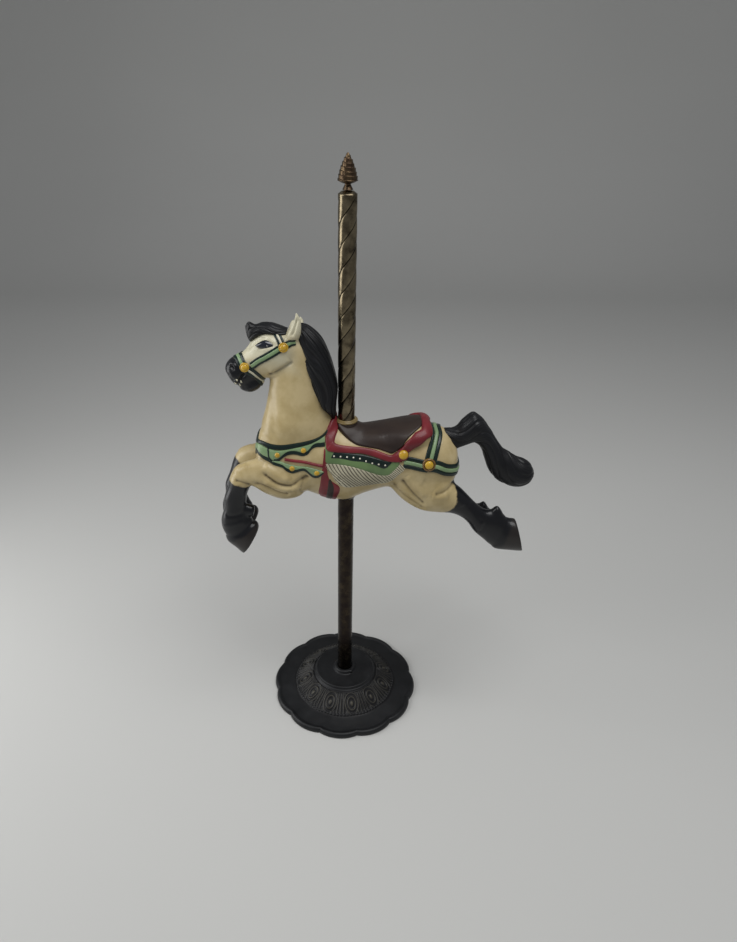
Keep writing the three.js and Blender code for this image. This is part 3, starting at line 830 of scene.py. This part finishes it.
def laid(edge_a, edge_b, proud, across=8, step=2.5, rise=crowned):
    """A strip of tack between two edges, standing proud of the skin; its two sides meet at the middle."""
    whole = []
    for side in (-1, 1):
        a, b = ([onto(p, side) for p in edge] for edge in (edge_a, edge_b))
        length = max(np.linalg.norm(np.diff(e, axis=0), axis=1).sum() for e in (a, b))
        count = max(3, round(length / (step * 1)))
        u = np.linspace(0, 1, across + 1)[None, :, None]
        a, b = evened(a, count + 1)[:, None], evened(b, count + 1)[:, None]
        between = a * (1 - u) + b * u
        base, facing = np.empty_like(between), np.empty_like(between)
        for i, j in np.ndindex(count + 1, across + 1):
            spot, normal, _, _ = skin_tree.find_nearest(Vector(between[i, j]) * MM)
            base[i, j] = np.array(spot) / MM
            facing[i, j] = normal
        base = spread(base, 2) * 0.5 + base * 0.5
        facing = spread(facing, 8)
        facing /= np.linalg.norm(facing, axis=2, keepdims=True)
        along = np.linspace(0, length, count + 1)[:, None]
        lift = rise(u[:, :, 0], along, base) * proud * np.ones((count + 1, 1))
        for row in (0, -1):
            if abs(between[row, :, 1]).max() < MIDDLE:
                base[row, :, 1] = facing[row, :, 1] = 0
            else:
                lift[row] = SUNK
        for column, edge in ((0, a), (-1, b)):
            if abs(edge[:, 0, 1]).max() > MIDDLE:
                lift[:, column] = SUNK
            else:
                base[:, column, 1] = facing[:, column, 1] = 0
        spots = base + facing * lift[:, :, None]
        bm = bmesh.new()
        bmesh.ops.create_grid(bm, x_segments=count, y_segments=across, size=1.0)
        flat = np.array([v.co for v in bm.verts])
        i = np.round((flat[:, 0] + 1) / 2 * count).astype(int)
        j = np.round((flat[:, 1] + 1) / 2 * across).astype(int)
        move_to(bm, spots[i, j])
        # the strip faces away from the skin
        bm.normal_update()
        if sum(f.normal.dot(Vector(facing[count // 2, across // 2])) for f in bm.faces) < 0:
            bmesh.ops.reverse_faces(bm, faces=bm.faces)
        whole.append(bm)
    made = joined(whole)
    bmesh.ops.remove_doubles(made, verts=made.verts, dist=0.2 * MM)
    return made


def strap(centre, width, proud, slide=0.0, **how):
    """A strap of even width along a centre line, or beside it where it slides."""

    def edge(offset):
        out = []
        spots = [onto(p, -1) for p in centre]
        for i, p in enumerate(spots):
            run = spots[min(i + 1, len(spots) - 1)] - spots[max(i - 1, 0)]
            normal = np.array(skin_tree.find_nearest(Vector(p) * MM)[1])
            if abs(p[1]) < MIDDLE:
                normal[1] = 0
                run = np.array([0, run[1], 0])
            cross = np.cross(normal, run)
            moved = p + cross / np.linalg.norm(cross) * offset
            out.append((moved[0], abs(moved[1]), moved[2]))
        return out

    return laid(edge(slide - width / 2), edge(slide + width / 2), proud, **how)


def combed(u, along, spots):
    """A crowned section cut with wavy grooves that sweep down and back, for the carved fringe."""
    x, z = spots[:, :, 0], spots[:, :, 2]
    slant = 0.66 + 0.42 * unit((x + 45) / 130)
    wave = x - (738 - z) * slant + 2.4 * np.sin(z / 8 + x / 25)
    groove = (0.5 + 0.5 * np.cos(2 * math.pi * wave / 7.2)) ** 3
    return np.where(u < 0.05, 0.6, 1) * (1 - 0.75 * groove)


leaf_green = enamel("green_enamel", "#6B8556", "#5C744C", "#1B2A16")
dark_green = enamel("dark_green_enamel", "#10241F", "#0D1D1A", "#050A09")
dry_white = enamel("dry_brushed_white_enamel", "#C4BEA6", "#ABA58E", "#28231B", roughness=0.5, varnish=0.1)
white = enamel("white_enamel", "#E4E0D2", "#D8D3C2", "#6A6455")
BLANKET_LOW = [
    (-48, 740), (-24, 739), (8, 734), (33, 727), (57, 718), (77, 711), (94, 711), (106, 722), (119, 738),
]
BLANKET_TOP = [(-48, 792), (-25, 782), (14, 772), (50, 766), (75, 760), (92, 756), (106, 755), (120, 754)]
on_horse(laid(BLANKET_LOW, BLANKET_TOP, 3.0, across=14), "saddle_blanket", leaf_green)
FRINGE_LOW = [
    (-47, 738), (-41, 728), (-32, 716), (-27, 704), (-18, 691), (-7, 682), (8, 680), (30, 683), (51, 685),
    (73, 688), (92, 690), (107, 700), (117, 713), (128, 724), (133, 733),
]
FRINGE_TOP = [
    (-47, 743), (-24, 743), (8, 738), (33, 731), (57, 722), (77, 715), (94, 715), (106, 726), (120, 743),
]
fringe = laid(FRINGE_LOW, FRINGE_TOP, 3.2, across=36, step=0.8, rise=combed)
on_horse(fringe, "blanket_fringe", dry_white, 0.03, 0.4, 4)
STRIP_LOW = [(-37, 754), (-13, 752), (14, 746), (40, 744), (63, 738), (80, 730), (90, 731), (101, 744)]
STRIP_TOP = [(-28, 772), (-10, 769), (14, 766), (40, 763), (63, 758), (80, 754), (91, 750), (104, 748)]
on_horse(laid(STRIP_LOW, STRIP_TOP, 3.9, across=8), "blanket_dark_strip", dark_green)


OUT_ROUND = [(0, 0, 0), (4, 0, 0), (-4, 0, 0), (0, 0, 4), (0, 0, -4)]


def turned_on(profile, spots, side, steps=24):
    """A small turned boss from a (radius, height) profile, set square on the skin at each spot."""
    parts = []
    for spot in spots:
        centre = onto(spot, side)
        hits = [skin_tree.find_nearest((Vector(centre) + Vector(d)) * MM)[1] for d in OUT_ROUND]
        up = sum(hits, Vector()).normalized()
        bm = revolved(profile, steps)
        turn = up.to_track_quat("Z", "Y").to_matrix().to_4x4()
        bmesh.ops.transform(bm, matrix=Matrix.Translation(Vector(centre) * MM) @ turn, verts=bm.verts)
        parts.append(bm)
    return parts


def dome(radius, height, low=0.0, rows=8):
    turns = np.linspace(0, math.pi / 2, rows)
    return [(0, low - 2)] + [(radius, low - 2)] + [
        (radius * math.cos(t) if t < 1.55 else 0, low + height * math.sin(t)) for t in turns
    ]


def both_sides(profile, spots, steps=24):
    return joined([bm for side in (-1, 1) for bm in turned_on(profile, spots, side, steps)])


DOTS = evened([(-27, 0, 760), (0, 0, 757), (29, 0, 754), (55, 0, 745), (87, 0, 740)], 9)
on_horse(both_sides(dome(1.9, 0.9, 4.4), [(p[0], p[2]) for p in DOTS], 12), "blanket_dots", white)


# ---- Saddle ----
# A dark brown seat rising to a cantle at the back, edged by a rolled red border. In front of the seat the
# border leaves a bare triangle in the horse's colour. A gold boss ends the roll low on each side.
seat_brown = enamel("seat_brown_enamel", "#30251F", "#2A201C", "#110D0B", roughness=0.46, varnish=0.1)
red = enamel("red_enamel", "#7C262C", "#681F26", "#240A0C", roughness=0.38, varnish=0.15)
dull_gold = enamel("dull_gold_paint", "#8C7A52", "#73633E", "#3A2C18")
SEAT_LOW = [
    (-27, 4, 821), (-25, 16, 813), (-17, 806), (1, 791), (23, 779), (46, 775), (71, 772), (92, 766),
    (104, 764), (124, 778), (131, 792), (146, 806), (165, 816), (169, 19, 825), (170, 0, 826),
]
SEAT_TOP = [
    (-25, 0, 826), (-15, 0, 824), (0, 0, 818), (15, 0, 814), (35, 0, 810), (55, 0, 810), (80, 0, 814),
    (100, 0, 820), (115, 0, 825), (130, 0, 828), (145, 0, 830), (155, 0, 830), (163, 0, 828), (167, 0, 827),
    (170, 0, 826),
]


def seat_rise(u, along, spots):
    """The seat's padded edge, and the mound it makes round the pole, as shares of its thickness."""
    from_pole = np.hypot(spots[:, :, 0], spots[:, :, 1])
    return unit(u / 0.08) ** 0.5 * (1 + 2.1 * np.exp(-((np.maximum(from_pole - 22, 0) / 15) ** 2)))


pommel = revolved([(0, 800), (27, 800), (26.4, 812), (25.2, 817), (24.6, 819), (0, 819)], 64)
bmesh.ops.delete(pommel, geom=[v for v in pommel.verts if v.co.xy.length < 1e-5], context="VERTS")
seat = joined([laid(SEAT_LOW, SEAT_TOP, 3.4, across=40, rise=seat_rise), pommel])
on_horse(seat, "saddle_seat", seat_brown)
ROLL_BACK_OUT = [
    (190, 0, 817), (192, 14, 814), (193, 28, 806), (189, 42, 799), (178, 798), (160, 784), (144, 770),
    (133, 764),
]
ROLL_BACK_IN = [
    (166, 0, 832), (167, 16, 828), (164, 40, 818), (150, 808), (140, 800), (131, 792), (124, 780),
    (112, 768),
]
ROLL_LOW_TOP = [(-30, 793), (-20, 784), (8, 778), (33, 776), (59, 773), (80, 767), (99, 762), (112, 769)]
ROLL_LOW_UNDER = [
    (-46, 776), (-39, 769), (-13, 765), (14, 763), (35, 762), (63, 756), (93, 747), (127, 745),
]
ROLL_FRONT_FORE = [(-34, 10, 836), (-35, 24, 831), (-43, 816), (-46, 803), (-47, 790), (-46, 774)]
ROLL_FRONT_BACK = [(-21, 6, 828), (-20, 14, 822), (-18, 808), (-23, 796), (-25, 786), (-20, 776)]
rolls = joined(
    [
        laid(ROLL_BACK_OUT, ROLL_BACK_IN, 8.0, across=14),
        laid(ROLL_LOW_UNDER, ROLL_LOW_TOP, 6.6, across=12),
        laid(ROLL_FRONT_FORE, ROLL_FRONT_BACK, 6.2, across=12),
        both_sides(dome(14, 7.5, 2.0, 12), [(125, 762)], 40),
    ]
)
on_horse(rolls, "saddle_red_border", red)
RING = [
    (19.4, 817), (25.0, 817.5), (26.2, 819), (26.2, 821), (25.4, 822.2), (23.6, 822.4), (21.6, 823.6),
    (20.2, 825), (19.4, 825), (19.4, 817),
]
on_horse(revolved(RING, 64), "saddle_pole_ring", dull_gold)
BELLY_BOSS = [(19.5, 640), (26, 640), (25, 628), (23.0, 621), (21.2, 619.5), (19.5, 620), (19.5, 640)]
on_horse(revolved(BELLY_BOSS, 64), "belly_pole_boss", coat)


# ---- Breast collar and girth ----
# Modelled straps: a breast collar in two scalloped branches, light green edged with dark green, set with
# gold studs and crossed by a thin red cord, and a red girth with a dark middle under the belly.
pale_green = enamel("pale_green_enamel", "#87A077", "#768F67", "#1F3224")
COLLAR_TOP = [
    (-203, 0, 779), (-197, 20, 781), (-186, 784), (-164, 781), (-140, 782), (-110, 788), (-80, 794),
    (-57, 802), (-42, 814), (-33, 829),
]
COLLAR_UNDER = [
    (-206, 0, 766), (-200, 20, 770), (-189, 776), (-174, 771), (-155, 769), (-128, 772), (-95, 781),
    (-69, 789), (-48, 801), (-37, 815),
]
on_horse(laid(COLLAR_TOP, COLLAR_UNDER, 4.6, across=8), "breast_collar_upper_edge", dark_green)
CHEST_LOW = [(-216, 0, 735), (-208, 22, 740), (-200, 752), (-187, 743), (-172, 738), (-160, 731)]
CHEST_UP = [(-208, 0, 770), (-202, 20, 774), (-190, 777), (-176, 773), (-163, 771), (-154, 770)]
UPPER_SCALLOPS = [
    (-172, 748), (-160, 739), (-150, 742), (-141, 751), (-132, 758), (-122, 761), (-111, 761), (-99, 758),
    (-91, 759), (-84, 763), (-75, 774), (-66, 778), (-56, 778), (-46, 779),
]
UPPER_TOP = [(-172, 772), (-155, 770), (-128, 773), (-95, 782), (-69, 790), (-48, 802)]
LOWER_TOP = [(-166, 744), (-152, 746), (-135, 742), (-111, 737), (-81, 735), (-55, 727), (-46, 724)]
LOWER_SCALLOPS = [
    (-166, 735), (-156, 732), (-142, 728), (-136, 723), (-130, 719), (-120, 716), (-112, 718), (-97, 723),
    (-90, 721), (-85, 716), (-78, 708), (-72, 704), (-63, 705), (-56, 711), (-50, 718),
]


def inset(edge, dx, dz):
    return [(p[0] + dx, p[1] + dz) if len(p) == 2 else (p[0] + dx, p[1], p[2] + dz) for p in edge]


dark_edges = joined(
    [
        laid(CHEST_LOW, CHEST_UP, 3.0, across=10),
        laid(UPPER_SCALLOPS, UPPER_TOP, 3.0, across=10, step=1.6),
        laid(LOWER_SCALLOPS, LOWER_TOP, 2.6, across=10, step=1.6),
    ]
)
on_horse(dark_edges, "breast_collar_dark_edges", dark_green)
light_faces = joined(
    [
        laid(inset(CHEST_LOW, 0.5, 10.0), CHEST_UP, 4.2, across=10),
        laid(inset(UPPER_SCALLOPS, 0.8, 8.2), UPPER_TOP, 4.2, across=10, step=1.6),
        laid(inset(LOWER_SCALLOPS, 0.8, 8.0), inset(LOWER_TOP, 0, -0.5), 3.8, across=10, step=1.6),
    ]
)
on_horse(light_faces, "breast_collar_faces", pale_green)
collar_joint = strap([(-173, 773), (-172, 762), (-171, 752), (-166, 741)], 4.5, 5.2)
on_horse(collar_joint, "breast_collar_joint", dark_green)
cord = strap([(-138, 750), (-118, 748), (-93, 746), (-70, 741), (-49, 737)], 7, 4.4)
on_horse(cord, "breast_collar_red_cord", red)
GIRTH_FORE = [(-49, 776), (-52, 740), (-55, 718), (-60, 687), (-65, 656), (-64, 36, 634), (-62, 0, 622)]
GIRTH_BACK = [(-42, 776), (-42, 740), (-37, 704), (-12, 679), (-20, 640), (-22, 36, 626), (-24, 0, 618)]
on_horse(laid(GIRTH_FORE, GIRTH_BACK, 2.6, across=14), "girth", red)
GIRTH_MID_FORE = [(-39, 704), (-43, 680), (-47, 650), (-50, 34, 630), (-50, 0, 619)]
GIRTH_MID_BACK = [(-35, 704), (-25, 682), (-28, 646), (-32, 34, 628), (-34, 0, 617)]
on_horse(laid(GIRTH_MID_FORE, GIRTH_MID_BACK, 3.2, across=8), "girth_centre", seat_brown)


# ---- Crupper straps ----
# Modelled straps behind the saddle: one over the rump and one round the buttocks, light green between
# dark-green edges, that cross under a boss on each side.
OVER_RUMP = [(201, 0, 812), (202, 14, 808), (202, 27, 798), (197, 783), (192, 766), (188, 750), (186, 742)]
TO_SADDLE = [(128, 747), (148, 744), (170, 739), (186, 736)]
ROUND_BUTTOCK = [(184, 738), (203, 736), (224, 726), (244, 44, 718), (256, 22, 714), (260, 0, 713)]
light_straps, dark_straps = [], []
for line, width in ((OVER_RUMP, 10.0), (TO_SADDLE, 10.5), (ROUND_BUTTOCK, 11.0)):
    light_straps.append(strap(line, width, 4.4))
    dark_straps += [strap(line, 10.5, 3.4, slide=s * (width / 2 + 4.2)) for s in (-1, 1)]
on_horse(joined(light_straps), "crupper_straps", pale_green)
on_horse(joined(dark_straps), "crupper_strap_edges", dark_green)


# ---- Bridle ----
# Modelled straps on the head: cheek strap, noseband with its lower branch, browband and crown strap, in
# pale green with narrow dark edges.
CHEEK = [(-204, 956), (-199, 958), (-186, 969), (-170, 979), (-155, 988), (-142, 996), (-136, 999)]
NOSEBAND = [(-236, 0, 974), (-231, 8, 971), (-227, 966), (-222, 958), (-218, 953)]
JAW = [(-214, 949), (-207, 944), (-199, 938), (-190, 928), (-183, 918), (-180, 8, 911), (-179, 0, 910)]
BROWBAND = [(-150, 0, 1027), (-147, 16, 1025), (-141, 1016), (-135, 1005)]
CROWN = [(-132, 1000), (-124, 1005), (-116, 1009), (-106, 1010)]
GREEN_STRAPS = [(CHEEK, 9.5, 4.0), (NOSEBAND, 9.0, 6.0), (CROWN, 9.0, 3.5)]
PALE_STRAPS = [(JAW, 6.0, 7.5), (BROWBAND, 5.5, 5.0)]
cream_white = enamel("cream_white_enamel", "#CFCBB4", "#BDB89F", "#3B3527")
edges = []
for line, width, border in GREEN_STRAPS + PALE_STRAPS:
    beside = width / 2 + border / 2 - 1.2
    edges += [strap(line, border + 2.4, 2.2, slide=side * beside, step=1.6) for side in (-1, 1)]
green_faces = [strap(line, width, 3.0, step=1.6) for line, width, _ in GREEN_STRAPS]
pale_faces = [strap(line, width, 3.0, step=1.6) for line, width, _ in PALE_STRAPS]
on_horse(joined(green_faces), "bridle_straps", pale_green)
on_horse(joined(pale_faces), "bridle_pale_straps", cream_white)
on_horse(joined(edges), "bridle_strap_edges", dark_green)


# ---- Bosses and studs ----
# Small domes modelled at the crossings and along the breast collar, touched in with bronze-gold paint.
gold = enamel("gold_paint", "#C79F2A", "#B48D22", "#5A3D12", roughness=0.34, varnish=0.6)
bronze = enamel("bronze_brown_enamel", "#7A5A2C", "#6A4C26", "#2A1C10", roughness=0.3, varnish=0.6)
STUDS = [(-152, 759), (-94, 772), (-120, 730), (-65, 721)]
BOSS_RING = [(0, -2), (10.4, -2), (10.4, 3.2), (9.8, 4.8), (8.6, 5.4), (7.6, 5.0), (7.0, 4.2), (0, 4.2)]
RUMP_RING = [(0, -2), (15, -2), (15, 4.4), (14.4, 6.2), (13, 7.0), (11.4, 6.6), (10.4, 5.6), (0, 5.6)]
golden = joined(
    [
        both_sides(dome(6.0, 3.6, 4.2), STUDS),
        both_sides(dome(7.8, 5.2, 3.6), [(-132, 1000), (-217, 952)]),
        both_sides(BOSS_RING, [(-132, 1000), (-217, 952)], 40),
        both_sides(dome(10.5, 6.5, 8.5, 12), [(127, 763)], 40),
        both_sides(dome(9.8, 6.0, 5.6, 10), [(184, 742)], 40),
    ]
)
on_horse(golden, "gold_bosses", gold)
on_horse(both_sides(RUMP_RING, [(184, 742)], 48), "rump_boss_rings", bronze)


# ---- Eyes and teeth ----
# Modelled in the casting and painted: dark blue-black glossy eyes with small white painted highlights as
# glints, and a row of off-white teeth showing between the parted lips.
glossy_dark = enamel("eye_black_enamel", "#151A26", "#10141E", "#050608", roughness=0.12, varnish=1.0)


def almond(centre, half_long, half_high, bulge, tilt):
    parts = []
    for side in (-1, 1):
        spot = onto(centre, side)
        bm = bmesh.new()
        bmesh.ops.create_uvsphere(bm, u_segments=40, v_segments=24, radius=1.0)
        shape = np.array([v.co for v in bm.verts])
        pinch = np.sqrt(unit(1 - abs(shape[:, 0]) ** 1.6))
        shape = np.stack([shape[:, 0] * half_long, shape[:, 1] * bulge, shape[:, 2] * half_high * pinch], 1)
        turn = np.array(Matrix.Rotation(math.radians(tilt), 3, "Y"))
        move_to(bm, shape @ turn.T + spot + np.array([0, -side * bulge * 0.25, 0]))
        parts.append(bm)
    return joined(parts)


on_horse(almond((-170, 1002), 22, 10.6, 8.6, -3), "eyes", glossy_dark)
# painted highlights: small white glints on the eyes
glints = joined([almond((-174, 1004), 3.2, 2.2, 10.4, 0), almond((-166, 1003), 1.8, 1.3, 10.2, 0)])
on_horse(glints, "eye_glints", white)
teeth = [almond(spot, 2.2, 3.4, 1.6, -30) for spot in ((-240, 914), (-236, 923), (-231, 909), (-227, 918))]
on_horse(joined(teeth), "teeth", cream_white)
